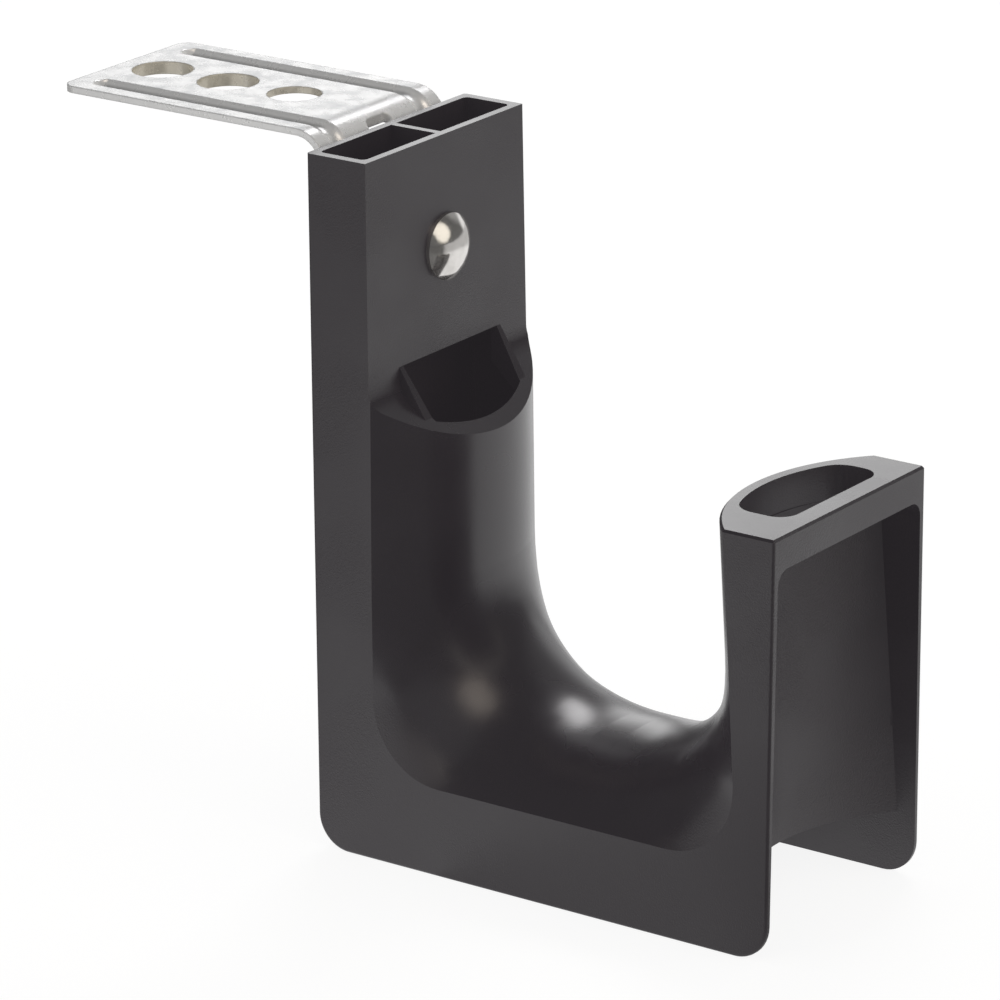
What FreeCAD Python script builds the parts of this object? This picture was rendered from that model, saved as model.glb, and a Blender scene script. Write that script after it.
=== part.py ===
import FreeCAD
import Part

import math
import os

from FreeCAD import Rotation, Vector

# A J-hook cable support: a moulded hook with a saddle-shaped cable run, a pressed steel
# bracket for the ceiling, and the rivet that joins them.
# The pieces are drawn from the foot of the post: x across the hook, y = 0 on the back of
# the post with the lip towards -y, z = 0 under the flanges. Each is then placed so that the
# origin lies on top of the bracket, in the middle of its centre hole.

SIZES = (
    # Hook, seen from the side
    ("post_width", 43.0),
    ("post_height", 119.6),
    ("post_depth", 11.8),
    ("bundle_gap", 50.8),
    ("bend_radius", 22.9),
    ("lip_height", 71.4),
    ("lip_flange", 8.1),
    ("floor_flange", 15.4),
    ("heel_radius", 6.0),
    ("toe_radius", 6.2),
    # Saddle arch, from one flange to the other
    ("post_arch_rise", 10.3),
    ("floor_arch_rise", 9.5),
    ("lip_arch_rise", 9.0),
    ("spring_radius", 12.9),
    # Slopes in degrees
    ("side_draft", 0.49),
    ("front_lean", 0.95),
    ("lip_lean", 2.65),
    ("brow_slope", 37.0),
    # Walls and edges of the hook
    ("arch_wall", 2.0),
    ("lip_wall", 2.1),
    ("flange_wall", 1.6),
    ("foot_wall", 1.0),
    ("post_wall", 1.4),
    ("web_wall", 1.3),
    ("back_wall_foot", 9.0),
    ("skirt_foot", 10.3),
    ("edge_round", 0.5),
    ("tube_round", 1.0),
    # Brow and window under the post's front plate
    ("brow_drop", 40.6),
    ("brow_wall", 3.0),
    ("brow_round", 5.0),
    ("window_drop", 36.2),
    ("window_width", 25.9),
    ("window_front_width", 24.2),
    ("window_shift", 0.5),
    ("window_arc", 31.0),
    ("window_rim", 2.3),
    ("frame_wall", 1.0),
    ("frame_reach", 5.1),
    # Cap on the lip with its slot
    ("cap_band", 5.6),
    ("cap_front_wall", 4.0),
    ("slot_width", 27.8),
    ("slot_shift", 1.4),
    ("slot_rim", 2.2),
    ("slot_front_round", 3.4),
    ("slot_back_round", 4.5),
    ("recess_round", 2.6),
    # Rivet
    ("rivet_drop", 19.0),
    ("rivet_head", 11.2),
    ("rivet_head_edge", 0.6),
    ("rivet_head_rise", 2.2),
    ("rivet_shank", 6.2),
    ("rivet_clearance", 0.15),
    ("rivet_roll", 9.2),
    ("rivet_roll_rise", 1.1),
    ("rivet_hollow", 3.6),
    ("rivet_hollow_depth", 4.0),
    ("boss_wall", 2.2),
    # Bracket
    ("sheet", 1.2),
    ("bracket_width", 33.0),
    ("bracket_reach", 55.2),
    ("bracket_above_post", 2.0),
    ("bracket_bend", 6.0),
    ("leg_below_rivet", 12.0),
    ("plate_corner", 2.5),
    ("leg_corner", 4.0),
    ("hole_from_end", 8.4),
    ("hole_pitch", 13.9),
    ("collared_hole", 10.4),
    ("plain_hole", 9.2),
    ("collar_wall", 1.0),
    ("collar_drop", 1.0),
    ("relief_width", 6.5),
    ("relief_reach", 2.4),
    ("relief_drop", 9.0),
    ("relief_round", 1.2),
    ("bead_offset", 11.7),
    ("bead_width", 4.0),
    ("bead_depth", 1.0),
    ("bead_from_end", 3.4),
    ("bead_run_out", 1.2),
    ("bead_on_leg", 18.0),
)

# Heights that hang from the top of the post
TIED = (
    ("brow_level", "=post_height - brow_drop"),
    ("window_top", "=post_height - window_drop"),
    ("rivet_height", "=post_height - rivet_drop"),
)

# How far cutting tools run past what they cut, how near an edge is to count as found, and
# how far a section or a bead's room runs past the face that it meets
OVERRUN = 3.0
NEAR = 1e-4
PAST_FACE = 0.3

# Steps of the saddle's fan round one bend, the largest share of an arch's radius that its
# section spans, where a section's flat top lies on the bend's radius, and the filler's inset
FAN_STEPS = 16
ARC_SHARE = 0.97
TOP_SHARE = 0.25
INSET_SHARE = 0.6

# Bevels that follow another size
LIP_BEVEL_SHARE = 0.8
ROLL_BEVEL_SHARE = 0.6

# How far past the sheet's face a bead's end runs, for each unit of its length
RUN_OUT = 1.2

doc = FreeCAD.newDocument("CableHook")
sheet = doc.addObject("Spreadsheet::Sheet", "Size")
for row, (alias, value) in enumerate(SIZES + TIED, 1):
    sheet.set(f"A{row}", alias)
    sheet.set(f"B{row}", str(value))
    sheet.setAlias(f"B{row}", alias)
doc.recompute()


def size(alias):
    return float(sheet.get(alias))


# Document helpers

def add(kind, name, formulas):
    item = doc.addObject(kind, name)
    for path, formula in formulas.items():
        item.setExpression(path, formula)
    return item


def span_box(name, x, y, z):
    """A box between two formulas on each axis."""
    formulas = {}
    for axis, side, (low, high) in zip("xyz", ("Length", "Width", "Height"), (x, y, z)):
        formulas[side] = f"({high}) - ({low})"
        formulas[f"Placement.Base.{axis}"] = low
    return add("Part::Box", name, formulas)


def upright_cylinder(name, radius, y, z):
    """A cylinder along z on the centre plane."""
    low, high = z
    return add("Part::Cylinder", name, {
        "Radius": radius,
        "Height": f"({high}) - ({low})",
        "Placement.Base.y": y,
        "Placement.Base.z": low,
    })


def through_cylinder(name, radius, y, z):
    """A cylinder along y on the centre plane, from the first y to the second, nearer the lip."""
    back, front = y
    rod = add("Part::Cylinder", name, {
        "Radius": radius,
        "Height": f"({back}) - ({front})",
        "Placement.Base.y": back,
        "Placement.Base.z": z,
    })
    rod.Placement.Rotation = Rotation(Vector(1, 0, 0), 90)
    return rod


def tapered_block(name, z, half_widths, backs, fronts):
    """A block whose width and depth change from its lower to its upper end."""
    block = add("Part::Wedge", name, {
        "Ymin": z[0],
        "Ymax": z[1],
        "Xmin": f"-({half_widths[0]})",
        "Xmax": half_widths[0],
        "X2min": f"-({half_widths[1]})",
        "X2max": half_widths[1],
        "Zmin": f"-({backs[0]})",
        "Zmax": f"-({fronts[0]})",
        "Z2min": f"-({backs[1]})",
        "Z2max": f"-({fronts[1]})",
    })
    block.Placement.Rotation = Rotation(Vector(1, 0, 0), 90)
    return block


def sloped_block(name, half_widths, y, bottoms, tops, x="0"):
    """A block with upright ends, whose width, bottom and top change from its back to its front."""
    back, front = y
    block = add("Part::Wedge", name, {
        "Placement.Base.x": x,
        "Ymin": f"-({back})",
        "Ymax": f"-({front})",
        "Xmin": f"-({half_widths[0]})",
        "Xmax": half_widths[0],
        "X2min": f"-({half_widths[1]})",
        "X2max": half_widths[1],
        "Zmin": bottoms[0],
        "Z2min": bottoms[1],
        "Zmax": tops[0],
        "Z2max": tops[1],
    })
    block.Placement.Rotation = Rotation(Vector(0, 0, 1), 180)
    return block


def joined(name, *pieces):
    fuse = doc.addObject("Part::MultiFuse", name)
    fuse.Shapes = list(pieces)
    fuse.Refine = True
    return fuse


def cut(name, base, tool):
    result = doc.addObject("Part::Cut", name)
    result.Base = base
    result.Tool = tool
    return result


def common(name, base, tool):
    result = doc.addObject("Part::Common", name)
    result.Base = base
    result.Tool = tool
    return result


def mirrored(name, source):
    """The same piece on the other side of the centre plane."""
    mirror = doc.addObject("Part::Mirroring", name)
    mirror.Source = source
    mirror.Normal = Vector(1, 0, 0)
    return mirror


def edges_on(shape, **planes):
    """Numbers of the edges that lie wholly at the given coordinates."""
    found = []
    for number, edge in enumerate(shape.Edges, 1):
        box = edge.BoundBox
        limits = {"x": (box.XMin, box.XMax), "y": (box.YMin, box.YMax), "z": (box.ZMin, box.ZMax)}
        if all(abs(end - at) < NEAR for axis, at in planes.items() for end in limits[axis]):
            found.append(number)
    return found


def rounded(name, base, rounds):
    """Rounds edges: each entry holds edge numbers and their radius."""
    result = doc.addObject("Part::Fillet", name)
    result.Base = base
    result.Edges = [(number, radius, radius) for numbers, radius in rounds for number in numbers]
    return result


def bevelled(name, base, numbers, width):
    result = doc.addObject("Part::Chamfer", name)
    result.Base = base
    result.Edges = [(number, width, width) for number in numbers]
    return result


# Levels and planes that several pieces share, as formulas of the sheet
SIDE_LEAN = "tan(Size.side_draft * 1 deg)"
FRONT_LEAN = "tan(Size.front_lean * 1 deg)"
LIP_LEAN = "tan(Size.lip_lean * 1 deg)"
BROW_FALL = "tan(Size.brow_slope * 1 deg)"
SADDLE_LEVEL = "(Size.floor_flange + Size.floor_arch_rise + Size.bend_radius)"
POST_CROWN = "-(Size.post_depth + Size.post_arch_rise)"
LIP_CROWN = "-(Size.post_depth + Size.post_arch_rise + Size.bundle_gap)"
FRONT_AT_FOOT = f"({LIP_CROWN} - Size.lip_arch_rise - Size.lip_flange + {SADDLE_LEVEL} * {FRONT_LEAN})"
FRONT_AT_TOP = f"({FRONT_AT_FOOT} - Size.post_height * {FRONT_LEAN})"
HALF_AT_TOP = "(Size.post_width / 2)"
HALF_AT_FOOT = f"({HALF_AT_TOP} + Size.post_height * {SIDE_LEAN})"
INNER_AT_TOP = f"({HALF_AT_TOP} - Size.flange_wall)"
INNER_AT_FOOT = f"({HALF_AT_FOOT} - Size.foot_wall)"
INNER_LEAN = f"(({INNER_AT_FOOT} - {INNER_AT_TOP}) / Size.post_height)"
CAP_FOOT = "(Size.lip_height - Size.cap_band)"
PLATE_BACK = "(Size.post_wall - Size.post_depth)"
BRACKET_TOP = "(Size.post_height + Size.bracket_above_post)"
CENTRE_HOLE = "(Size.bracket_reach - Size.hole_from_end - Size.hole_pitch)"
BORE = "(Size.rivet_shank / 2 + Size.rivet_clearance)"
WIDE = "Size.post_width"


def half_width_at(z):
    lean = math.tan(math.radians(size("side_draft")))
    return size("post_width") / 2 + lean * (size("post_height") - z)


def inner_half_width_at(z):
    """Half the room between the flanges, which are thinner at the foot than at the top."""
    share = 1 - z / size("post_height")
    return half_width_at(z) - size("flange_wall") + share * (size("flange_wall") - size("foot_wall"))


# Saddle: cross arcs from flange to flange, fanned round the two bends of the J

class Bend:
    """One bend of the saddle, from straight down to square on the wall that it meets."""

    def __init__(self, crown_y, out, wall_rise):
        radius = size("bend_radius")
        level = size("floor_flange") + size("floor_arch_rise") + radius
        self.out = out
        self.down = Vector(0, 0, -1)
        self.up_wall = Vector(0, out.z, abs(out.y))
        self.centre = Vector(0, crown_y - math.copysign(radius, out.y), level)
        self.wall_reach = radius + wall_rise
        self.floor_reach = radius + size("floor_arch_rise")
        inner_wall = self.wall_reach - size("spring_radius")
        inner_floor = self.floor_reach - size("spring_radius")
        skew = self.out.dot(self.down)
        square = 1 - skew * skew
        self.corner = (
            self.out * ((inner_wall - skew * inner_floor) / square)
            + self.down * ((inner_floor - skew * inner_wall) / square)
        )

    def direction(self, share):
        """The fan's direction: share 0 is straight down and 1 is square on the wall."""
        turn = math.acos(self.out.dot(self.down)) * share
        sideways = (self.out - self.down * self.out.dot(self.down)).normalize()
        return self.down * math.cos(turn) + sideways * math.sin(turn)

    def spring_reach(self, direction):
        """Distance from the bend's centre to the flange's inner edge, whose corner is rounded."""
        radius = size("spring_radius")
        at_floor = (self.corner + self.down * radius).normalize()
        at_wall = (self.corner + self.out * radius).normalize()
        if direction.dot(self.down) > at_floor.dot(self.down):
            return self.floor_reach / direction.dot(self.down)
        if direction.dot(self.out) > at_wall.dot(self.out):
            return self.wall_reach / direction.dot(self.out)
        along = self.corner.dot(direction)
        across = self.corner.dot(self.corner) - along * along
        return along + math.sqrt(radius * radius - across)


def post_bend():
    return Bend(-(size("post_depth") + size("post_arch_rise")), Vector(0, 1, 0), size("post_arch_rise"))


def lip_bend():
    lean = math.radians(size("lip_lean"))
    crown = -(size("post_depth") + size("post_arch_rise") + size("bundle_gap"))
    return Bend(crown, Vector(0, -math.cos(lean), math.sin(lean)), size("lip_arch_rise"))


def arch_radius(half, rise):
    return (half * half + rise * rise) / (2 * rise)


def arc_reach(arch, wall, x):
    """Distance from the bend's centre to an arch moved back by a wall, at one place across."""
    return size("bend_radius") + arch - math.sqrt((arch - wall) ** 2 - x ** 2)


def bay_section(centre, direction, spring_reach, wall):
    """Section of the cable bay in one plane of the fan, with its arch moved back by a wall."""
    crown = size("bend_radius")
    level = (centre + direction * spring_reach).z
    half = half_width_at(level)
    arch = arch_radius(half, spring_reach - crown)
    if wall > 0:
        end = min(ARC_SHARE * (arch - wall), inner_half_width_at(level) + PAST_FACE)
    else:
        end = half + min(PAST_FACE, (arch - half) / 2)
    foot = arc_reach(arch, wall, end)
    side = half + OVERRUN
    top = TOP_SHARE * crown

    def point(x, reach):
        return centre + Vector(x, 0, 0) + direction * reach

    arc = Part.Arc(point(-end, foot), point(0, crown + wall), point(end, foot)).toShape()
    corners = [
        point(end, foot),
        point(side, foot),
        point(side, top),
        point(-side, top),
        point(-side, foot),
        point(-end, foot),
    ]
    lines = [Part.makeLine(a, b) for a, b in zip(corners, corners[1:])]
    return Part.Wire([arc] + lines)


def bay_half(bend, middle, wall):
    """The bay's room round one bend and up its wall, to the middle of the floor; smooth only outside."""
    fan = []
    for step in range(FAN_STEPS + 1):
        direction = bend.direction(step / FAN_STEPS)
        fan.append(bay_section(bend.centre, direction, bend.spring_reach(direction), wall))
    climb = bend.up_wall * (size("post_height") - bend.centre.z + OVERRUN)
    plain = wall > 0
    pieces = [Part.makeLoft(fan, True, plain), Part.Face(fan[-1]).extrude(climb)]
    flat = Vector(0, middle - bend.centre.y, 0)
    if flat.dot(bend.out) < 0:
        pieces.append(Part.Face(fan[0]).extrude(flat))
    room = pieces[0].multiFuse(pieces[1:])
    reach = size("post_height")
    corner = Vector(-reach, min(middle, middle + math.copysign(reach, bend.out.y)), -OVERRUN)
    return room.common(Part.makeBox(2 * reach, reach, 2 * reach, corner))


def bay_solid(wall):
    """The room for cables between post and lip; with a wall it is the arch's inner side instead."""
    bends = (post_bend(), lip_bend())
    back, front = (bend.centre for bend in bends)
    middle = (back.y + front.y) / 2
    halves = [bay_half(bend, middle, wall) for bend in bends]
    inset = INSET_SHARE * size("bend_radius")
    side = half_width_at(0) + OVERRUN
    corner = Vector(-side, front.y - inset, front.z - inset)
    height = size("post_height") + OVERRUN - corner.z
    filler = Part.makeBox(2 * side, back.y - front.y + 2 * inset, height, corner)
    return filler.multiFuse(halves)


def bay(name, wall):
    item = doc.addObject("Part::Feature", name)
    item.Shape = bay_solid(wall)
    return item


def lip_skirt():
    """The lip's wall as one straight sheet, from the cap down past the front of the floor."""
    bend = lip_bend()
    half = half_width_at((bend.centre + bend.out * bend.wall_reach).z)
    arch = arch_radius(half, bend.wall_reach - size("bend_radius"))
    end = half - size("foot_wall") / 2
    crown = bend.centre + bend.out * size("bend_radius")
    foot, head = ((level - crown.z) / bend.up_wall.z for level in (size("skirt_foot"), size("lip_height")))
    start = bend.centre + bend.up_wall * foot

    def arc(wall, first, last):
        places = (first, 0.0, last)
        return [start + Vector(x, 0, 0) + bend.out * arc_reach(arch, wall, x) for x in places]

    behind = arc(0.0, -end, end)
    ahead = arc(size("lip_wall"), end, -end)
    section = Part.Wire([
        Part.Arc(*behind).toShape(),
        Part.makeLine(behind[-1], ahead[0]),
        Part.Arc(*ahead).toShape(),
        Part.makeLine(ahead[-1], behind[0]),
    ])
    item = doc.addObject("Part::Feature", "lip_skirt")
    item.Shape = Part.Face(section).extrude(bend.up_wall * (head - foot))
    return item


# Moulded hook

def hook_body():
    shell = cut("shell", outer_hook(), hook_core())
    web = span_box(
        "web",
        ("-Size.web_wall / 2", "Size.web_wall / 2"),
        ("-Size.post_depth + Size.post_wall / 2", "-Size.post_wall / 2"),
        ("Size.window_top", "Size.post_height"),
    )
    boss = through_cylinder(
        "boss",
        f"{BORE} + Size.boss_wall",
        ("-Size.post_wall / 2", "-Size.post_depth + Size.post_wall / 2"),
        "Size.rivet_height",
    )
    filled = joined("filled_shell", shell, web, boss, window_frame())
    through = (f"{OVERRUN}", f"-Size.post_depth - {OVERRUN}")
    bore = through_cylinder("hook_bore", BORE, through, "Size.rivet_height")
    return cut("hook", filled, joined("openings", bore, window(), lip_slot()))


def outer_hook():
    """The hook without its hollows: a drafted block less the room for cables."""
    block = tapered_block(
        "block",
        ("0", "Size.post_height"),
        (HALF_AT_FOOT, HALF_AT_TOP),
        ("0", "0"),
        (FRONT_AT_FOOT, FRONT_AT_TOP),
    )
    doc.recompute()
    front_fall = size("post_height") * math.tan(math.radians(size("front_lean")))
    heel = edges_on(block.Shape, y=0, z=0)
    toe = edges_on(block.Shape, y=block.Shape.BoundBox.YMin + front_fall, z=0)
    turned = rounded("turned_block", block, [(heel, size("heel_radius")), (toe, size("toe_radius"))])
    doc.recompute()
    rims = []
    for number, edge in enumerate(turned.Shape.Edges, 1):
        on_side = all(abs(abs(v.X) - half_width_at(v.Z)) < NEAR for v in edge.Vertexes)
        across = abs(edge.Vertexes[0].X - edge.Vertexes[-1].X) > size("post_width") / 2
        if on_side and not across and edge.BoundBox.ZMin < size("post_height") - NEAR:
            rims.append(number)
    outer = rounded("outer_block", turned, [(rims, size("edge_round"))])

    clear = joined("clear_room", bay("cable_bay", 0.0), room_over_brow(), room_over_lip())
    sharp = cut("sharp_hook", outer, clear)
    doc.recompute()
    lip_rim = edges_on(sharp.Shape, z=size("lip_height"))
    return bevelled("outer_hook", sharp, lip_rim, LIP_BEVEL_SHARE * size("edge_round"))


def room_over_brow():
    """The room ahead of the post's plate, blended into the brow that falls towards the saddle."""
    ahead = sloped_block(
        "ahead_of_plate",
        (WIDE, WIDE),
        ("-Size.post_depth", f"{POST_CROWN} - {OVERRUN}"),
        ("Size.brow_level", f"Size.brow_level - (Size.post_arch_rise + {OVERRUN}) * {BROW_FALL}"),
        (f"Size.post_height + {OVERRUN}", f"Size.post_height + {OVERRUN}"),
    )
    doc.recompute()
    fold = edges_on(ahead.Shape, y=-size("post_depth"), z=size("brow_level"))
    return rounded("over_brow", ahead, [(fold, size("brow_round"))])


def room_over_lip():
    return span_box(
        "over_lip",
        (f"-{WIDE}", WIDE),
        (f"{FRONT_AT_TOP} - {OVERRUN}", f"{POST_CROWN} - Size.bend_radius"),
        ("Size.lip_height", f"Size.post_height + {OVERRUN}"),
    )


def hook_core():
    """All that is hollow: behind the plate, under the arch and in the lip."""
    below = f"-{OVERRUN}"
    above = f"Size.post_height + {OVERRUN}"
    at_foot = f"{INNER_AT_FOOT} + {OVERRUN} * {INNER_LEAN}"
    at_top = f"{INNER_AT_TOP} - {OVERRUN} * {INNER_LEAN}"
    at_cap = f"{INNER_AT_TOP} + (Size.post_height - {CAP_FOOT}) * {INNER_LEAN}"
    middle = f"{POST_CROWN} - Size.bend_radius"
    beyond = f"{FRONT_AT_TOP} - {OVERRUN}"

    post_core = tapered_block(
        "post_core",
        (below, above),
        (at_foot, at_top),
        ("-Size.post_wall", "-Size.post_wall"),
        (middle, middle),
    )
    plate = sloped_block(
        "plate_and_brow",
        (WIDE, WIDE),
        (PLATE_BACK, "-Size.post_depth - Size.bundle_gap"),
        (
            f"Size.brow_level - Size.brow_wall + Size.post_wall * {BROW_FALL}",
            f"Size.brow_level - Size.brow_wall - Size.bundle_gap * {BROW_FALL}",
        ),
        (f"{above} + {OVERRUN}", f"{above} + {OVERRUN}"),
    )
    tube = cut("tube", post_core, plate)
    doc.recompute()
    uprights = []
    for number, edge in enumerate(tube.Shape.Edges, 1):
        a, b = edge.Vertexes[0], edge.Vertexes[-1]
        if abs(a.Y - b.Y) < NEAR and abs(a.Z - b.Z) > size("post_height") - size("window_top"):
            if a.Y > -size("post_depth"):
                uprights.append(number)
    tube_core = rounded("tube_core", tube, [(uprights, size("tube_round"))])

    lip_block = tapered_block(
        "lip_block",
        (below, CAP_FOOT),
        (at_foot, at_cap),
        (f"{middle} + {OVERRUN}", f"{middle} + {OVERRUN}"),
        (beyond, beyond),
    )
    doc.recompute()
    cap_foot = size("lip_height") - size("cap_band")
    cap_half = inner_half_width_at(cap_foot)
    recess = []
    for side in (-cap_half, cap_half):
        recess += edges_on(lip_block.Shape, x=side, z=cap_foot)
    lip_core = rounded("lip_core", lip_block, [(recess, size("recess_round"))])

    back_opening = span_box(
        "back_wall_opening",
        (f"-{INNER_AT_TOP}", INNER_AT_TOP),
        ("-Size.post_depth", f"{OVERRUN}"),
        (below, "Size.back_wall_foot"),
    )
    hollows = joined("hollows", tube_core, lip_core, back_opening)
    under_arch = cut("under_arch", hollows, bay("arch_inside", size("arch_wall")))
    return cut("hook_core", under_arch, lip_skirt())


def window_frame():
    """Ribs from the plate down to the brow, on both sides of the window that is cut later."""
    half = "Size.window_width / 2 + Size.frame_wall"
    into_plate = "Size.post_wall / 2"
    brow_at_reach = f"(Size.brow_level - Size.frame_reach * {BROW_FALL})"
    fall = f"((Size.window_top - {brow_at_reach}) / Size.frame_reach)"
    return sloped_block(
        "window_frame",
        (half, half),
        (f"{into_plate} - Size.post_depth", "-Size.post_depth - Size.frame_reach"),
        (
            f"Size.brow_level - Size.brow_wall / 2 + {into_plate} * {BROW_FALL}",
            f"{brow_at_reach} - Size.brow_wall / 2",
        ),
        (f"Size.window_top + {into_plate} * {fall}", brow_at_reach),
        "Size.window_shift",
    )


def window():
    """The opening below the plate: straight sides that close in to the front, and an arc along the rim."""
    closing = "((Size.window_width - Size.window_front_width) / 2 / Size.frame_reach)"
    back = f"{PLATE_BACK} + {OVERRUN}"
    foot = f"Size.brow_level - Size.post_arch_rise * {BROW_FALL} - Size.brow_wall - {OVERRUN}"
    sides = sloped_block(
        "window_sides",
        (
            f"Size.window_width / 2 + (Size.post_wall + {OVERRUN}) * {closing}",
            f"Size.window_width / 2 - Size.post_arch_rise * {closing}",
        ),
        (back, POST_CROWN),
        (foot, foot),
        ("Size.window_top", "Size.window_top"),
        "Size.window_shift",
    )
    centre = f"{POST_CROWN} + Size.window_rim + Size.window_arc"
    height = (f"{foot} - {OVERRUN}", "Size.post_height")
    arc = upright_cylinder("window_arc", "Size.window_arc", centre, height)
    return common("window", sides, arc)


def lip_slot():
    """The opening through the cap: straight along the front, with an arc along the lip's back."""
    arch = f"(({HALF_AT_TOP} ^ 2 + Size.lip_arch_rise ^ 2) / (2 * Size.lip_arch_rise))"
    crown = f"({LIP_CROWN} + (Size.lip_height - {SADDLE_LEVEL}) * {LIP_LEAN})"
    front = f"{FRONT_AT_FOOT} - Size.lip_height * {FRONT_LEAN} + Size.cap_front_wall"
    height = (f"{CAP_FOOT} - {PAST_FACE}", f"Size.lip_height + {OVERRUN}")
    sides = ("Size.slot_shift - Size.slot_width / 2", "Size.slot_shift + Size.slot_width / 2")
    box = span_box("slot_box", sides, (front, crown), height)
    arc = upright_cylinder("slot_arc", f"{arch} - Size.slot_rim", f"{crown} - {arch}", height)
    sharp = common("sharp_slot", box, arc)
    doc.recompute()
    front_y = sharp.Shape.BoundBox.YMin
    front_corners = []
    back_corners = []
    for number, edge in enumerate(sharp.Shape.Edges, 1):
        a, b = edge.Vertexes[0], edge.Vertexes[-1]
        if abs(a.Z - b.Z) > NEAR:
            corners = front_corners if a.Y < front_y + NEAR else back_corners
            corners.append(number)
    rounds = [(front_corners, size("slot_front_round")), (back_corners, size("slot_back_round"))]
    return rounded("lip_slot", sharp, rounds)


# Pressed steel bracket

def ceiling_bracket():
    folded = angle_sheet("folded_sheet", "Size.sheet", size("sheet"))
    past_beads = f"(Size.sheet + Size.bead_depth + {PAST_FACE})"
    thick = angle_sheet("thick_sheet", past_beads, size("sheet") + size("bead_depth") + PAST_FACE)
    ridges = common("ridges", beads("ridge", "Size.sheet"), thick)
    ridged = joined("ridged_sheet", folded, ridges, *collars())
    beaded = cut("beaded_sheet", ridged, beads("groove", "0"))
    return cut("bracket", beaded, joined("bracket_holes", *bracket_holes()))


def angle_sheet(name, thickness, thickness_mm):
    """A bent sheet of one thickness, measured inwards from the bracket's top and the post's back."""
    half = "Size.bracket_width / 2"
    foot = "(Size.rivet_height - Size.leg_below_rivet)"
    block = span_box(f"{name}_block", (f"-{half}", half), ("0", "Size.bracket_reach"), (foot, BRACKET_TOP))
    room = span_box(
        f"{name}_room",
        (f"-{half} - {OVERRUN}", f"{half} + {OVERRUN}"),
        (thickness, f"Size.bracket_reach + {OVERRUN}"),
        (f"{foot} - {OVERRUN}", f"{BRACKET_TOP} - {thickness}"),
    )
    sharp = cut(f"{name}_sharp", block, room)
    doc.recompute()
    top = size("post_height") + size("bracket_above_post")
    leg_foot = size("rivet_height") - size("leg_below_rivet")
    bend = size("bracket_bend")
    rounds = [
        (edges_on(sharp.Shape, y=0, z=top), bend),
        (edges_on(sharp.Shape, y=thickness_mm, z=top - thickness_mm), bend - thickness_mm),
    ]
    for side in (-size("bracket_width") / 2, size("bracket_width") / 2):
        rounds.append((edges_on(sharp.Shape, x=side, y=size("bracket_reach")), size("plate_corner")))
        rounds.append((edges_on(sharp.Shape, x=side, z=leg_foot), size("leg_corner")))
    return rounded(name, sharp, rounds)


def beads(name, growth):
    """The two stiffening beads over the fold, round rods that run out at their ends; growth thickens them."""
    sink = "((Size.bead_width / 2) ^ 2 + Size.bead_depth ^ 2) / (2 * Size.bead_depth)"
    radius = f"{sink} + {growth}"
    above = f"({sink} - Size.bead_depth)"
    side = "Size.bead_offset"
    plate_end = ("Size.bracket_reach - Size.bead_from_end - Size.bead_run_out", f"{BRACKET_TOP} + {above}")
    leg_end = (f"-{above}", f"({BRACKET_TOP} - Size.bead_on_leg)")
    fold = ("Size.bracket_bend", f"({BRACKET_TOP} - Size.bracket_bend)")

    def placed(place):
        return {
            "Placement.Base.x": side,
            "Placement.Base.y": place[0],
            "Placement.Base.z": place[1],
        }

    plate_rod_sizes = {"Radius": radius, "Height": f"{plate_end[0]} - {fold[0]}"}
    plate_rod = add("Part::Cylinder", f"{name}_plate_rod", {**plate_rod_sizes, **placed(plate_end)})
    plate_rod.Placement.Rotation = Rotation(Vector(1, 0, 0), 90)
    run_out = {
        "Radius1": radius,
        "Radius2": f"{radius} - Size.bead_depth * {RUN_OUT}",
        "Height": f"Size.bead_run_out * {RUN_OUT}",
    }
    plate_tip = add("Part::Cone", f"{name}_plate_tip", {**run_out, **placed(plate_end)})
    plate_tip.Placement.Rotation = Rotation(Vector(1, 0, 0), -90)
    ring_sizes = {"Radius1": f"Size.bracket_bend + {above}", "Radius2": radius}
    ring = add("Part::Torus", f"{name}_ring", {**ring_sizes, **placed(fold)})
    ring.Placement.Rotation = Rotation(Vector(0, 1, 0), 90)
    leg_rod_sizes = {"Radius": radius, "Height": f"{fold[1]} - {leg_end[1]}"}
    leg_rod = add("Part::Cylinder", f"{name}_leg_rod", {**leg_rod_sizes, **placed(leg_end)})
    leg_tip = add("Part::Cone", f"{name}_leg_tip", {**run_out, **placed(leg_end)})
    leg_tip.Placement.Rotation = Rotation(Vector(1, 0, 0), 180)
    quarter = span_box(
        f"{name}_quarter",
        (f"{side} - Size.bracket_width", f"{side} + Size.bracket_width"),
        ("-Size.bracket_width", fold[0]),
        (fold[1], f"{BRACKET_TOP} + Size.bracket_width"),
    )
    turn = common(f"{name}_turn", ring, quarter)
    right = joined(f"{name}_right", plate_rod, plate_tip, turn, leg_rod, leg_tip)
    return joined(name, right, mirrored(f"{name}_left", right))


COLLARED_HOLES = ("Size.bracket_reach - Size.hole_from_end", CENTRE_HOLE)
PLAIN_HOLE = f"{CENTRE_HOLE} - Size.hole_pitch"


def collars():
    """Short rims drawn down round the outer and the centre hole."""
    under = f"{BRACKET_TOP} - Size.sheet"
    for number, place in enumerate(COLLARED_HOLES, 1):
        height = (f"{under} - Size.collar_drop", under)
        yield upright_cylinder(f"collar_{number}", "Size.collared_hole / 2 + Size.collar_wall", place, height)


def bracket_holes():
    depth = (f"{BRACKET_TOP} - Size.sheet - Size.collar_drop - {OVERRUN}", f"{BRACKET_TOP} + {OVERRUN}")
    for number, place in enumerate(COLLARED_HOLES, 1):
        yield upright_cylinder(f"collared_hole_{number}", "Size.collared_hole / 2", place, depth)
    yield upright_cylinder("plain_hole", "Size.plain_hole / 2", PLAIN_HOLE, depth)
    yield through_cylinder("leg_bore", BORE, (f"Size.sheet + {OVERRUN}", f"-{OVERRUN}"), "Size.rivet_height")
    yield bend_relief()


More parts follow.
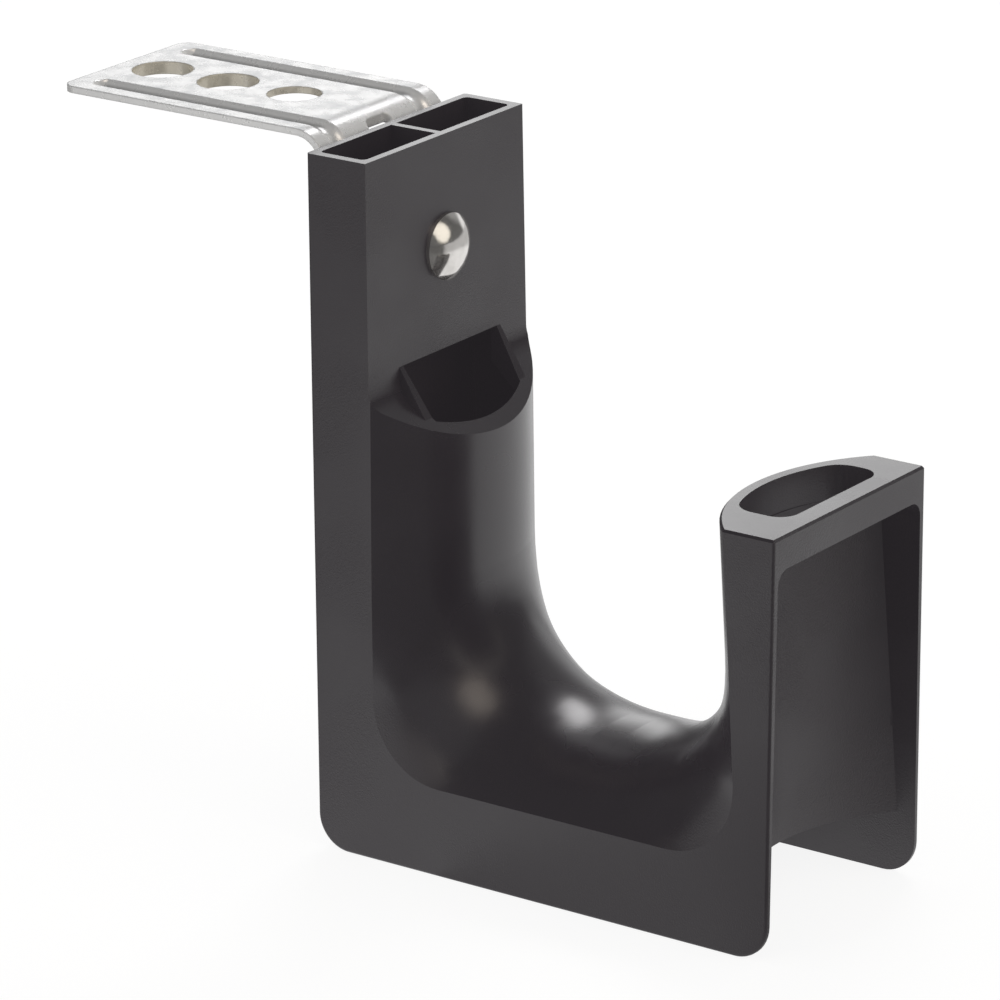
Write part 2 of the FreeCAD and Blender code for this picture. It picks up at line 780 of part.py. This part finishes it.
def bend_relief():
    """An opening low in the fold, between the beads."""
    half = "Size.relief_width / 2"
    foot = f"{BRACKET_TOP} - Size.relief_drop"
    sharp = span_box(
        "sharp_relief",
        (f"-{half}", half),
        (f"-{OVERRUN}", "Size.relief_reach"),
        (foot, f"{BRACKET_TOP} + {OVERRUN}"),
    )
    doc.recompute()
    box = sharp.Shape.BoundBox
    corners = []
    for side in (box.XMin, box.XMax):
        corners += edges_on(sharp.Shape, x=side, z=box.ZMin)
        corners += edges_on(sharp.Shape, x=side, y=box.YMax)
    return rounded("bend_relief", sharp, [(corners, size("relief_round"))])


# Rivet, with its domed head on the plate and its end rolled over behind the bracket

def rivet():
    front = "-Size.post_depth"
    brim = f"({front} - Size.rivet_head_edge)"
    end = "(Size.sheet + Size.rivet_roll_rise)"
    level = "Size.rivet_height"
    dome = "(((Size.rivet_head / 2) ^ 2 + Size.rivet_head_rise ^ 2) / (2 * Size.rivet_head_rise))"
    ball = add("Part::Sphere", "rivet_ball", {
        "Radius": dome,
        "Placement.Base.y": f"{brim} + {dome} - Size.rivet_head_rise",
        "Placement.Base.z": level,
    })
    ahead = through_cylinder("ahead_of_brim", "Size.rivet_head", (brim, f"{brim} - Size.rivet_head"), level)
    cap = common("rivet_dome", ball, ahead)
    rim =through_cylinder("rivet_rim", "Size.rivet_head / 2", (front, brim), level)
    shank = through_cylinder("rivet_shank", "Size.rivet_shank / 2", (end, front), level)
    roll = through_cylinder("rivet_roll", "Size.rivet_roll / 2", (end, "Size.sheet"), level)
    doc.recompute()
    roll_edge = edges_on(roll.Shape, y=size("sheet") + size("rivet_roll_rise"))
    rolled = bevelled("rivet_rolled_end", roll, roll_edge, ROLL_BEVEL_SHARE * size("rivet_roll_rise"))
    hollow_span = (f"{end} + {OVERRUN}", f"{end} - Size.rivet_hollow_depth")
    hollow = through_cylinder("rivet_hollow", "Size.rivet_hollow / 2", hollow_span, level)
    return cut("rivet_solid", joined("rivet_blank", cap, rim, shank, rolled), hollow)


# Pieces, their places and their files

PIECES = {
    "hook_body": hook_body(),
    "ceiling_bracket": ceiling_bracket(),
    "rivet": rivet(),
}
for label, piece in PIECES.items():
    piece.Label = label
    piece.setExpression("Placement.Base.y", f"-{CENTRE_HOLE}")
    piece.setExpression("Placement.Base.z", f"-{BRACKET_TOP}")
doc.recompute()

for item in doc.Objects:
    if "Invalid" in item.State or "Error" in item.State:
        raise RuntimeError(f"{item.Name} failed: {item.State}")
for label, piece in PIECES.items():
    shape = piece.Shape
    if shape.isNull() or not shape.isValid() or len(shape.Solids) != 1:
        raise RuntimeError(f"{label} is not one valid solid")

os.makedirs("parts", exist_ok=True)
for label, piece in PIECES.items():
    piece.Shape.exportStep(f"parts/{label}.step")
    print(f"{label}: volume {piece.Shape.Volume:.1f} mm3, faces {len(piece.Shape.Faces)}")
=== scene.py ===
from math import cos, radians
from typing import NamedTuple

import bpy
from mathutils import Matrix, Vector


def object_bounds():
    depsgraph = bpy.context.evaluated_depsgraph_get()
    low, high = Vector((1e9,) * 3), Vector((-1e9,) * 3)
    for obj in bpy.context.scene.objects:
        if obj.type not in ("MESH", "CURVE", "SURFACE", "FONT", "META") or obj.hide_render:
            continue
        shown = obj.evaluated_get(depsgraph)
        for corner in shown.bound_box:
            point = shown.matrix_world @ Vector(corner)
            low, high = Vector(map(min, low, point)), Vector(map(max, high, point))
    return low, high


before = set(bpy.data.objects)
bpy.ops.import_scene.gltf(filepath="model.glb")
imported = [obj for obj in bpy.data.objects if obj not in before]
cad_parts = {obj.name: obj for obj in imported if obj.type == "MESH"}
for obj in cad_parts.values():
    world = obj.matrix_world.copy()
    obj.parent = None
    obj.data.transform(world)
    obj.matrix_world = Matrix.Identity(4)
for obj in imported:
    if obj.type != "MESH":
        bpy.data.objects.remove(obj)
cad_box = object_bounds()
box_middle = (cad_box[0] + cad_box[1]) / 2


class Ramp(NamedTuple):
    """A smooth change from start to end, while the input goes from low to high."""
    low: float
    high: float
    start: float = 0.0
    end: float = 1.0


class Noise(NamedTuple):
    """A noise texture: features per unit of place, octaves of detail and how much the finer ones count."""
    scale: float
    detail: float = 2.0
    roughness: float = 0.5


class Bump(NamedTuple):
    """A relief: depth in metres and strength."""
    depth: float
    strength: float


class Lobe(NamedTuple):
    """A side of the floor that mirrors see lit: direction, and limits on the cosine of the angle from it."""
    direction: tuple
    limits: Ramp


class Glow(NamedTuple):
    """A lamp as mirrors see it: direction from the object, degrees to its edge and to its core."""
    direction: tuple
    edge: float
    core: float
    strength: float
    colour: tuple


class Softbox(NamedTuple):
    """A lamp for diffuse light and shadows: direction from the object, sizes in metres, power in watts."""
    direction: tuple
    distance: float
    width: float
    height: float
    power: float
    colour: tuple


WHITE = (1.0, 1.0, 1.0, 1.0)

# Camera at the photograph's angle, in the part's frame: axes of the picture, and place in metres
CAMERA_RIGHT = (0.58641, -0.80990, -0.01296)
CAMERA_UP = (0.27279, 0.18240, 0.94461)
CAMERA_BACK = (-0.76269, -0.55747, 0.32790)
CAMERA_PLACE = (-0.78035, -0.62513, 0.27252)

# Lens and sensor in millimetres, and the nearest and farthest thing shown in metres
LENS = 224.02
SENSOR = 36.0
NEAREST = 0.05
FARTHEST = 50.0

# Floor: half width in metres, colour, strength of its glow and the glow's share for camera and mirrors
FLOOR_HALF = 12.0
FLOOR_COLOUR = (0.95, 0.95, 0.95, 1.0)
FLOOR_GLOW = 1.10
FLOOR_CAMERA_SHARE = 0.80
FLOOR_MIRROR_SHARE = 0.95

# Floor in mirrors: lit near the object and to two sides, dim elsewhere, fading with distance in metres
FLOOR_NEAR = Ramp(0.06, 0.10, start=0.68, end=0.0)
FLOOR_SIDES = (
    Lobe((0.866, -0.500, 0.0), Ramp(0.42, 0.66)),
    Lobe((-0.966, 0.259, 0.0), Ramp(0.76, 0.90)),
)
FLOOR_DIM = 0.12
FLOOR_FADE = Ramp(0.28, 0.40, start=1.0, end=0.58)

# World: strength behind the object, where 1 is white, and for diffuse rays
BACKGROUND = 1.0
AMBIENT = 0.45

# World in mirrors: a backdrop on one side that darkens upwards, in a dim room
BACKDROP_SIDE = (0.97, 0.24, 0.0)
BACKDROP_EDGE = Ramp(0.76, 0.92)
BACKDROP_HEIGHT = Ramp(0.10, 0.38, start=1.0, end=0.15)
ROOM = 0.10

# Directions from the object to the lamps
TO_KEY = (0.648, 0.249, 0.719)
TO_FRONT = (0.096, -0.908, 0.407)
TO_LEFT = (-0.95, 0.30, 0.25)
TO_BACK = (0.774, 0.562, 0.292)

# Lamps and broad, faint light as mirrors see them
GLOWS = {
    "key": Glow(TO_KEY, edge=13.0, core=7.0, strength=7.6, colour=(1.0, 0.99, 1.0, 1.0)),
    "back": Glow(TO_BACK, edge=13.0, core=2.0, strength=2.2, colour=WHITE),
    "warm": Glow((-0.302, -0.568, 0.766), edge=18.0, core=6.0, strength=2.6, colour=(1.0, 0.88, 0.76, 1.0)),
    "front": Glow(TO_FRONT, edge=24.0, core=14.0, strength=1.30, colour=(1.0, 0.94, 0.82, 1.0)),
    "left": Glow((-0.922, 0.292, 0.253), edge=20.0, core=6.0, strength=0.75, colour=(1.0, 0.92, 0.84, 1.0)),
    "haze": Glow((0.836, -0.073, 0.545), edge=32.0, core=12.0, strength=0.24, colour=WHITE),
    "room": Glow((-0.830, -0.302, 0.469), edge=40.0, core=10.0, strength=0.22, colour=WHITE),
}

# Lamps for diffuse light and shadows
SOFTBOXES = {
    "key": Softbox(TO_KEY, distance=1.2, width=0.48, height=0.36, power=2.8, colour=(1.0, 0.98, 0.97)),
    "front": Softbox(TO_FRONT, distance=1.3, width=1.0, height=0.75, power=3.2, colour=(1.0, 0.92, 0.78)),
    "left": Softbox(TO_LEFT, distance=1.4, width=0.45, height=0.60, power=1.9, colour=(1.0, 0.96, 0.91)),
    "back": Softbox(TO_BACK, distance=1.5, width=0.38, height=0.50, power=0.55, colour=(1.0, 1.0, 1.0)),
}

# Nylon: colours, the faint glow that stands for the photograph's lifted blacks, and the index of refraction
NYLON = (0.0138, 0.0112, 0.0138, 1.0)
NYLON_WORN = (0.0178, 0.0147, 0.0178, 1.0)
NYLON_GLOW = (1.0, 0.88, 1.0, 1.0)
NYLON_GLOW_STRENGTH = 0.014
NYLON_IOR = 1.54

# Nylon's flat walls: where plate and lip front lie along y in metres, and how squarely each faces out
PLATE_LIMIT = -0.0460
LIP_FRONT_LIMIT = -0.1050
PLATE_FACING = Ramp(0.90, 0.99)
LIP_FRONT_FACING = Ramp(0.50, 0.70)
FLANGE_FACING = Ramp(0.86, 0.97)

# Nylon's textures: clouds in colour and roughness, a sparked finish in patches, and faint flow marks
NYLON_CLOUD = Noise(60.0, detail=3.0)
NYLON_WORN_SHARE = Ramp(0.35, 0.75)
NYLON_SMOOTH = Ramp(0.3, 0.7, start=0.23, end=0.28)
NYLON_MATT = Ramp(0.3, 0.7, start=0.38, end=0.46)
SPARK = Noise(3600.0, roughness=0.6)
SPARK_BUMP = Bump(0.00012, strength=0.8)
SPARK_PATCH = Noise(45.0, detail=1.0)
SPARK_SHARE = Ramp(0.42, 0.62, start=0.35, end=1.0)
FLOW = Noise(220.0)
FLOW_BUMP = Bump(0.00004, strength=0.25)

# Zinc: colours with painted light and shade: a light colour painted on its edges, bends and upright faces, a
# darker one painted on the flat sheet with its clouds, and one for the holes' insides
ZINC_PAINTED_LIGHT_SIDES = (0.88, 0.88, 0.88, 1.0)
ZINC_PAINTED_SHADE_SHEET = (0.48, 0.48, 0.48, 1.0)
ZINC_SHADE = (0.41, 0.42, 0.43, 1.0)
ZINC_WARM = (0.68, 0.64, 0.55, 1.0)
ZINC_METALLIC = 0.35

# Zinc's regions: the flat sheet by its facing, which decides where the darker painted shade goes, the holes
# also by their reach and place in metres
SHEET_FACING = Ramp(0.80, 0.98)
HOLE_REACH = Ramp(0.0050, 0.0060, start=1.0, end=0.0)
HOLE_FACING = Ramp(0.25, 0.60, start=1.0, end=0.0)
HOLE_BACK = -0.0220

# Zinc's textures: clouds, lines rolled along the sheet, and the radius that its edges show in metres
ZINC_CLOUD = Noise(240.0, detail=4.0, roughness=0.6)
ZINC_SHADE_SHARE = Ramp(0.40, 0.75)
ZINC_ROUGHNESS = Ramp(0.3, 0.7, start=0.22, end=0.32)
ZINC_CLOUD_BUMP = Bump(0.00005, strength=0.05)
LINES_STRETCH = (2600.0, 60.0, 2600.0)
LINES = Noise(1.0)
LINES_BUMP = Bump(0.00002, strength=0.09)
SHEET_EDGE = 0.00040

# Nickel: colours, and the dents and fine grain of a set rivet head
NICKEL = (0.70, 0.68, 0.66, 1.0)
NICKEL_SHADE = (0.58, 0.56, 0.54, 1.0)
NICKEL_METALLIC = 0.88
NICKEL_SHADE_SHARE = Ramp(0.40, 0.75)
NICKEL_ROUGHNESS = Ramp(0.3, 0.7, start=0.09, end=0.17)
DENTS = Noise(260.0, detail=3.0)
DENTS_BUMP = Bump(0.0003, strength=0.22)
GRAIN = Noise(2400.0)
GRAIN_BUMP = Bump(0.00002, strength=0.15)


class Graph:
    """A small helper that adds nodes to one node tree and joins them."""

    def __init__(self, tree):
        self.tree = tree
        tree.nodes.clear()

    def node(self, kind, inputs=None, **settings):
        made = self.tree.nodes.new(kind)
        for name, value in settings.items():
            setattr(made, name, value)
        for name, value in (inputs or {}).items():
            self.feed(made.inputs[name], value)
        return made

    def feed(self, socket, value):
        if isinstance(value, bpy.types.NodeSocket):
            self.tree.links.new(value, socket)
        else:
            socket.default_value = value

    def math(self, operation, first, second=0.0):
        made = self.node("ShaderNodeMath", {0: first, 1: second}, operation=operation)
        return made.outputs[0]

    def vector(self, operation, first, second=None):
        """A vector, or a number where the operation is a length or a dot product."""
        inputs = {0: first}
        if second is not None:
            inputs[1] = second
        made = self.node("ShaderNodeVectorMath", inputs, operation=operation)
        kind = "Value" if operation in ("LENGTH", "DOT_PRODUCT") else "Vector"
        return made.outputs[kind]

    def part(self, vector, axis):
        return self.node("ShaderNodeSeparateXYZ", {"Vector": vector}).outputs[axis]

    def ramp(self, value, limits):
        inputs = {
            "Value": value,
            "From Min": limits.low,
            "From Max": limits.high,
            "To Min": limits.start,
            "To Max": limits.end,
        }
        made = self.node("ShaderNodeMapRange", inputs, interpolation_type="SMOOTHSTEP")
        return made.outputs["Result"]

    def mix(self, share, first, second, data_type="RGBA"):
        inputs = {"Factor": share, "A": first, "B": second}
        return self.node("ShaderNodeMix", inputs, data_type=data_type).outputs["Result"]

    def noise(self, place, texture):
        inputs = {
            "Vector": place,
            "Scale": texture.scale,
            "Detail": texture.detail,
            "Roughness": texture.roughness,
        }
        return self.node("ShaderNodeTexNoise", inputs).outputs["Fac"]

    def bump(self, height, relief, normal=None):
        inputs = {"Height": height, "Distance": relief.depth, "Strength": relief.strength}
        if normal is not None:
            inputs["Normal"] = normal
        return self.node("ShaderNodeBump", inputs).outputs["Normal"]

    def background(self, strength, colour=WHITE):
        made = self.node("ShaderNodeBackground", {"Color": colour, "Strength": strength})
        return made.outputs["Background"]

    def mix_shaders(self, share, first, second):
        return self.node("ShaderNodeMixShader", {"Fac": share, 1: first, 2: second}).outputs["Shader"]

    def end_in_principled(self, inputs):
        shader = self.node("ShaderNodeBsdfPrincipled", inputs)
        self.node("ShaderNodeOutputMaterial", {"Surface": shader.outputs["BSDF"]})


def new_material(name):
    material = bpy.data.materials.new(name)
    material.use_nodes = True
    return material, Graph(material.node_tree)


def wear(node_name, material):
    """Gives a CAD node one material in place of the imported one."""
    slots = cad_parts[node_name].data.materials
    slots.clear()
    slots.append(material)


def object_place(graph):
    return graph.node("ShaderNodeTexCoord").outputs["Object"]


def facing(graph, axis):
    """How far a face looks along one axis."""
    return graph.part(graph.node("ShaderNodeNewGeometry").outputs["Normal"], axis)


def black_nylon():
    """Moulded nylon: a sparked, matt finish on the flat walls and a smoother, glossier saddle."""
    material, graph = new_material("black_nylon")
    place = object_place(graph)
    depth = graph.part(place, "Y")
    across = graph.math("ABSOLUTE", facing(graph, "X"))
    # The hook is open against y
    front = graph.math("MULTIPLY", facing(graph, "Y"), -1.0)
    on_plate = graph.math("GREATER_THAN", depth, PLATE_LIMIT)
    on_lip_front = graph.math("LESS_THAN", depth, LIP_FRONT_LIMIT)
    plate = graph.math("MULTIPLY", on_plate, graph.ramp(front, PLATE_FACING))
    lip_front = graph.math("MULTIPLY", on_lip_front, graph.ramp(front, LIP_FRONT_FACING))
    to_front = graph.math("MAXIMUM", plate, lip_front)
    flat_wall = graph.math("MAXIMUM", graph.ramp(across, FLANGE_FACING), to_front)

    cloud = graph.noise(place, NYLON_CLOUD)
    colour = graph.mix(graph.ramp(cloud, NYLON_WORN_SHARE), NYLON, NYLON_WORN)
    smooth = graph.ramp(cloud, NYLON_SMOOTH)
    matt = graph.ramp(cloud, NYLON_MATT)
    roughness = graph.mix(flat_wall, smooth, matt, "FLOAT")

    patch = graph.ramp(graph.noise(place, SPARK_PATCH), SPARK_SHARE)
    spark = graph.math("MULTIPLY", graph.noise(place, SPARK), flat_wall)
    sparked = graph.math("MULTIPLY", spark, patch)
    flow = graph.bump(graph.noise(place, FLOW), FLOW_BUMP)

    graph.end_in_principled({
        "Base Color": colour,
        "Roughness": roughness,
        "Normal": graph.bump(sparked, SPARK_BUMP, flow),
        "IOR": NYLON_IOR,
        "Emission Color": NYLON_GLOW,
        "Emission Strength": NYLON_GLOW_STRENGTH,
    })
    return material


def zinc_steel():
    """Bright zinc plate: rolled lines along the sheet, faint clouds, and a warmer tint in the holes; painted
    light and shade: edges, bends and upright faces are painted light, the flat sheet darker.
    """
    material, graph = new_material("zinc_steel")
    place = object_place(graph)
    upward = graph.math("ABSOLUTE", facing(graph, "Z"))
    from_middle = graph.math("ABSOLUTE", graph.part(place, "X"))
    before_fold = graph.math("GREATER_THAN", graph.part(place, "Y"), HOLE_BACK)
    upright = graph.ramp(upward, HOLE_FACING)
    in_hole = graph.math("MULTIPLY", graph.ramp(from_middle, HOLE_REACH), upright)
    in_hole = graph.math("MULTIPLY", in_hole, before_fold)

    cloud = graph.noise(place, ZINC_CLOUD)
    flat = graph.mix(graph.ramp(cloud, ZINC_SHADE_SHARE), ZINC_PAINTED_SHADE_SHEET, ZINC_SHADE)
    # Painted light and shade: faces that look up or down get the darker sheet colour, all other faces the
    # light one
    painted_light_and_shade = graph.mix(graph.ramp(upward, SHEET_FACING), ZINC_PAINTED_LIGHT_SIDES, flat)

    stretched = graph.node("ShaderNodeMapping", {"Vector": place, "Scale": LINES_STRETCH})
    lines = graph.noise(stretched.outputs["Vector"], LINES)
    soft_edge = graph.node("ShaderNodeBevel", {"Radius": SHEET_EDGE}).outputs["Normal"]
    clouded = graph.bump(cloud, ZINC_CLOUD_BUMP, soft_edge)

    graph.end_in_principled({
        "Base Color": graph.mix(in_hole, painted_light_and_shade, ZINC_WARM),
        "Roughness": graph.ramp(cloud, ZINC_ROUGHNESS),
        "Normal": graph.bump(lines, LINES_BUMP, clouded),
        "Metallic": ZINC_METALLIC,
    })
    return material


def rivet_steel():
    """Bright nickel plate on the rivet, with the slight unevenness of a set head."""
    material, graph = new_material("rivet_steel")
    place = object_place(graph)
    dents = graph.noise(place, DENTS)
    grain = graph.noise(place, GRAIN)
    graph.end_in_principled({
        "Base Color": graph.mix(graph.ramp(dents, NICKEL_SHADE_SHARE), NICKEL, NICKEL_SHADE),
        "Roughness": graph.ramp(grain, NICKEL_ROUGHNESS),
        "Normal": graph.bump(dents, DENTS_BUMP, graph.bump(grain, GRAIN_BUMP)),
        "Metallic": NICKEL_METALLIC,
    })
    return material


def ray_kinds(graph):
    """1 or 0 for rays from the camera, and 1 or 0 for rays in mirrors and through glass."""
    path = graph.node("ShaderNodeLightPath").outputs
    mirrors = graph.math("MAXIMUM", path["Is Glossy Ray"], path["Is Transmission Ray"])
    return path["Is Camera Ray"], mirrors


def pale_floor():
    """White to the camera and pale to the light; in mirrors it fades with distance and to some sides."""
    material, graph = new_material("pale_floor")
    foot = box_middle.copy()
    foot.z = cad_box[0].z
    place = graph.node("ShaderNodeNewGeometry").outputs["Position"]
    away = graph.vector("SUBTRACT", place, foot)
    distance = graph.vector("LENGTH", away)
    course = graph.vector("NORMALIZE", away)
    lit = graph.ramp(distance, FLOOR_NEAR)
    for lobe in FLOOR_SIDES:
        turn = graph.vector("DOT_PRODUCT", course, lobe.direction)
        lit = graph.math("MAXIMUM", lit, graph.ramp(turn, lobe.limits))
    lit = graph.math("MAXIMUM", lit, FLOOR_DIM)
    mirrored = graph.math("MULTIPLY", graph.ramp(distance, FLOOR_FADE), lit)

    camera, mirrors = ray_kinds(graph)
    level = graph.math("MAXIMUM", camera, graph.math("MULTIPLY", mirrors, mirrored))
    strength = graph.math("MULTIPLY", level, FLOOR_GLOW)
    to_camera = graph.math("MULTIPLY", camera, FLOOR_CAMERA_SHARE)
    to_mirrors = graph.math("MULTIPLY", mirrors, FLOOR_MIRROR_SHARE)
    share = graph.math("MAXIMUM", to_camera, to_mirrors)
    matt = graph.node("ShaderNodeBsdfDiffuse", {"Color": FLOOR_COLOUR}).outputs["BSDF"]
    glow = graph.node("ShaderNodeEmission", {"Strength": strength}).outputs["Emission"]
    graph.node("ShaderNodeOutputMaterial", {"Surface": graph.mix_shaders(share, matt, glow)})
    return material


def lay_floor():
    corners = [(-1, -1), (1, -1), (1, 1), (-1, 1)]
    points = [(x * FLOOR_HALF, y * FLOOR_HALF, cad_box[0].z) for x, y in corners]
    mesh = bpy.data.meshes.new("floor")
    mesh.from_pydata(points, [], [(0, 1, 2, 3)])
    mesh.materials.append(pale_floor())
    floor = bpy.data.objects.new("floor", mesh)
    bpy.context.scene.collection.objects.link(floor)


def set_world():
    """White behind the object for the camera; mirrors see a low backdrop and soft lamps in a dim room."""
    world = bpy.data.worlds.new("studio")
    world.use_nodes = True
    bpy.context.scene.world = world
    graph = Graph(world.node_tree)
    ray = graph.node("ShaderNodeTexCoord").outputs["Generated"]
    turn = graph.vector("DOT_PRODUCT", ray, BACKDROP_SIDE)
    height = graph.ramp(graph.part(ray, "Z"), BACKDROP_HEIGHT)
    backdrop = graph.math("MULTIPLY", graph.ramp(turn, BACKDROP_EDGE), height)
    mirrored = graph.background(graph.math("MAXIMUM", backdrop, ROOM))
    for glow in GLOWS.values():
        near = graph.vector("DOT_PRODUCT", ray, glow.direction)
        limits = Ramp(cos(radians(glow.edge)), cos(radians(glow.core)), end=glow.strength)
        light = graph.background(graph.ramp(near, limits), glow.colour)
        mirrored = graph.node("ShaderNodeAddShader", {0: mirrored, 1: light}).outputs["Shader"]

    camera, mirrors = ray_kinds(graph)
    indirect = graph.mix_shaders(mirrors, graph.background(AMBIENT), mirrored)
    shown = graph.mix_shaders(camera, indirect, graph.background(BACKGROUND))
    graph.node("ShaderNodeOutputWorld", {"Surface": shown})


def hang_softboxes():
    """Hangs the lamps, which mirrors don't see, because the world's glows stand for them there."""
    for name, box in SOFTBOXES.items():
        light = bpy.data.lights.new(name, "AREA")
        light.shape = "RECTANGLE"
        light.size = box.width
        light.size_y = box.height
        light.energy = box.power
        light.color = box.colour
        lamp = bpy.data.objects.new(name, light)
        lamp.visible_glossy = False
        towards = Vector(box.direction).normalized()
        lamp.location = box_middle + towards * box.distance
        lamp.rotation_mode = "QUATERNION"
        lamp.rotation_quaternion = towards.to_track_quat("Z", "Y")
        bpy.context.scene.collection.objects.link(lamp)


def set_camera():
    data = bpy.data.cameras.new("camera")
    data.lens = LENS
    data.sensor_width = SENSOR
    data.clip_start = NEAREST
    data.clip_end = FARTHEST
    camera = bpy.data.objects.new("camera", data)
    axes = Matrix((CAMERA_RIGHT, CAMERA_UP, CAMERA_BACK)).transposed()
    camera.matrix_world = Matrix.Translation(CAMERA_PLACE) @ axes.to_4x4()
    bpy.context.scene.collection.objects.link(camera)
    bpy.context.scene.camera = camera


bpy.context.scene.view_settings.view_transform = "Standard"
wear("hook_body", black_nylon())
wear("ceiling_bracket", zinc_steel())
wear("rivet", rivet_steel())
lay_floor()
set_world()
hang_softboxes()
set_camera()
